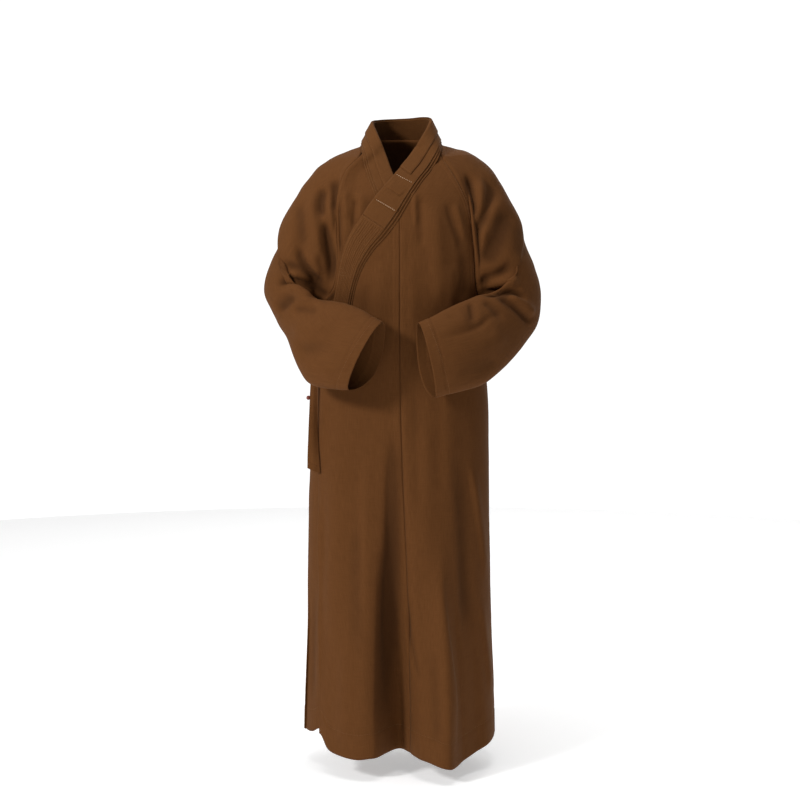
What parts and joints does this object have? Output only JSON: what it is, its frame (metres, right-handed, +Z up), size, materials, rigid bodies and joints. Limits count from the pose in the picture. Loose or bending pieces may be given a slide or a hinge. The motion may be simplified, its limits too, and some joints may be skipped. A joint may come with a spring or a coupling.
{
  "type": "buddhist monk robe, worn form with no wearer",
  "caption": "Ankle-length crossed brown cloth robe in its worn form, hollow, with a layered collar band, raglan sleeves bent forward and a side streamer.",
  "frame": {"origin": "middle of the neck base, between the neck points of the two shoulders", "axes": "+Z up along the wearer, front towards -Y, +X towards the wearer's left"},
  "size_m": [0.6353, 0.3986, 1.462],
  "materials": {
    "robe_cloth": "matte mid brown plain weave with a slight lengthwise slub",
    "sleeve_cloth": "the same brown cloth on the sleeves",
    "collar_cloth": "the same brown cloth in layers, quilted by rows of stitching on the lower stretch",
    "inner_cloth": "the same brown cloth, in shade",
    "tie_cloth": "the same brown cloth, folded double",
    "knot_cord": "tightly knotted red-brown cord"
  },
  "bodies": {
    "root": {"front_left": "robe_cloth", "front_overlap": "robe_cloth", "front_inner": "inner_cloth", "back": "robe_cloth", "sleeve_left": "sleeve_cloth", "sleeve_right": "sleeve_cloth", "collar_base": "collar_cloth", "collar_middle": "collar_cloth", "collar_quilted": "collar_cloth", "collar_plain": "collar_cloth", "collar_guard": "collar_cloth", "side_streamer": "tie_cloth", "side_knot": "knot_cord"}
  },
  "joints": []
}
